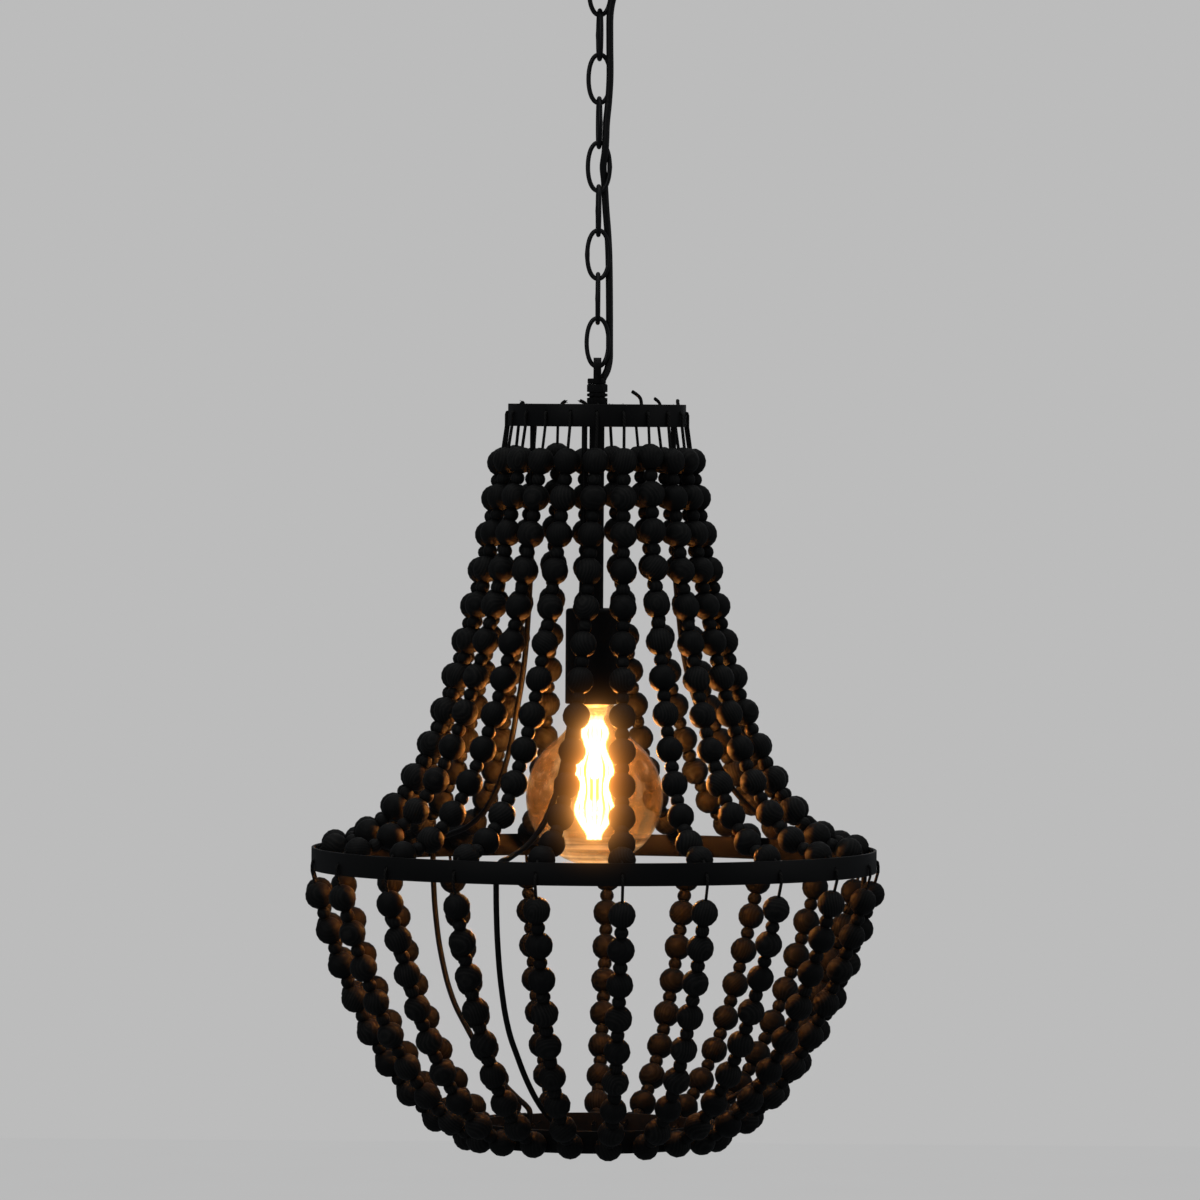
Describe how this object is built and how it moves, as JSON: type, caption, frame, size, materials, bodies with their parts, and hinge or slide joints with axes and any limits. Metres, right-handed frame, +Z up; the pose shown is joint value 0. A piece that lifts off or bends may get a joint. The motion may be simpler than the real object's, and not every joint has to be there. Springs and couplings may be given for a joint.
{
  "type": "beaded chandelier",
  "caption": "Pendant chandelier of wooden bead strings draped over flat rings round a globe bulb, on a chain with a woven-in cord and a ceiling canopy.",
  "frame": {"origin": "on the ceiling, at the middle of the bracket's top face", "axes": "+Z up, square to the ceiling, with the chandelier hanging towards -Z; the front is -Y"},
  "size_m": [0.4011, 0.401, 0.8707],
  "materials": {
    "ceiling_zinc": "zinc plated",
    "black_coat": "satin black powder coat",
    "black_steel": "blackened steel, semi-gloss",
    "black_plastic": "matt",
    "cord_sheath": "matt round sheath",
    "ceramic": "glazed white porcelain",
    "contact_brass": "plain",
    "amber_glass": "clear amber",
    "clear_glass": "clear",
    "filament_wire": "glowing",
    "stained_wood": "black stain, open grain"
  },
  "bodies": {
    "ceiling_fitting": {"ceiling_bracket": "ceiling_zinc", "terminal_block": "ceramic", "canopy_cup": "black_coat", "ceiling_hook": "black_steel", "hook_nut": "black_steel", "cord_gland": "black_plastic", "power_cord": "cord_sheath"},
    "link_9": {"chain_link_9": "black_steel"},
    "link_8": {"chain_link_8": "black_steel"},
    "link_7": {"chain_link_7": "black_steel"},
    "link_6": {"chain_link_6": "black_steel"},
    "link_5": {"chain_link_5": "black_steel"},
    "link_4": {"chain_link_4": "black_steel"},
    "link_3": {"chain_link_3": "black_steel"},
    "link_2": {"chain_link_2": "black_steel"},
    "link_1": {"chain_link_1": "black_steel"},
    "chandelier": {"hanging_loop": "black_coat", "collar": "black_coat", "stem_tube": "black_coat", "top_spider": "black_coat", "lock_nut": "black_steel", "top_ring": "black_coat", "mid_hoop": "black_coat", "bottom_ring": "black_coat", "rib_rod_1": "black_coat", "rib_rod_2": "black_coat", "rib_rod_3": "black_coat", "lampholder_cover": "black_coat", "lampholder_nut": "black_steel", "lampholder_body": "ceramic", "screw_shell": "contact_brass", "centre_contact": "contact_brass", "strand_01": "stained_wood", "strand_02": "stained_wood", "strand_03": "stained_wood", "strand_04": "stained_wood", "strand_05": "stained_wood", "strand_06": "stained_wood", "strand_07": "stained_wood", "strand_08": "stained_wood", "strand_09": "stained_wood", "strand_10": "stained_wood", "strand_11": "stained_wood", "strand_12": "stained_wood", "strand_13": "stained_wood", "strand_14": "stained_wood", "strand_15": "stained_wood", "strand_16": "stained_wood", "strand_17": "stained_wood", "strand_18": "stained_wood", "strand_19": "stained_wood", "strand_20": "stained_wood", "strand_21": "stained_wood"},
    "bulb": {"bulb_globe": "amber_glass", "bulb_screw_cap": "contact_brass", "bulb_stem": "clear_glass", "filament": "filament_wire"}
  },
  "joints": [
    {"name": "link_9_swing", "type": "hinge", "parent": "ceiling_fitting", "child": "link_9", "pos_m": [0, 0, -0.0557], "axis": [0, 1, 0], "range_deg": [-8, 8], "deforming": ["power_cord"]},
    {"name": "link_8_swing", "type": "hinge", "parent": "link_9", "child": "link_8", "pos_m": [0, 0, -0.08585], "axis": [1, 0, 0], "range_deg": [-8, 8], "deforming": ["power_cord"]},
    {"name": "link_7_swing", "type": "hinge", "parent": "link_8", "child": "link_7", "pos_m": [0, 0, -0.11625], "axis": [0, 1, 0], "range_deg": [-8, 8], "deforming": ["power_cord"]},
    {"name": "link_6_swing", "type": "hinge", "parent": "link_7", "child": "link_6", "pos_m": [0, 0, -0.14665], "axis": [1, 0, 0], "range_deg": [-8, 8], "deforming": ["power_cord"]},
    {"name": "link_5_swing", "type": "hinge", "parent": "link_6", "child": "link_5", "pos_m": [0, 0, -0.17705], "axis": [0, 1, 0], "range_deg": [-8, 8], "deforming": ["power_cord"]},
    {"name": "link_4_swing", "type": "hinge", "parent": "link_5", "child": "link_4", "pos_m": [0, 0, -0.20745], "axis": [1, 0, 0], "range_deg": [-8, 8], "deforming": ["power_cord"]},
    {"name": "link_3_swing", "type": "hinge", "parent": "link_4", "child": "link_3", "pos_m": [0, 0, -0.23785], "axis": [0, 1, 0], "range_deg": [-8, 8], "deforming": ["power_cord"]},
    {"name": "link_2_swing", "type": "hinge", "parent": "link_3", "child": "link_2", "pos_m": [0, 0, -0.26825], "axis": [1, 0, 0], "range_deg": [-8, 8], "deforming": ["power_cord"]},
    {"name": "link_1_swing", "type": "hinge", "parent": "link_2", "child": "link_1", "pos_m": [0, 0, -0.29865], "axis": [0, 1, 0], "range_deg": [-8, 8], "deforming": ["power_cord"]},
    {"name": "chandelier_swing", "type": "hinge", "parent": "link_1", "child": "chandelier", "pos_m": [0, 0, -0.32905], "axis": [1, 0, 0], "range_deg": [-10, 10], "deforming": ["power_cord"]},
    {"name": "bulb_out", "type": "slide", "parent": "chandelier", "child": "bulb", "axis": [0, 0, -1], "range_m": [0, 0.04]}
  ]
}
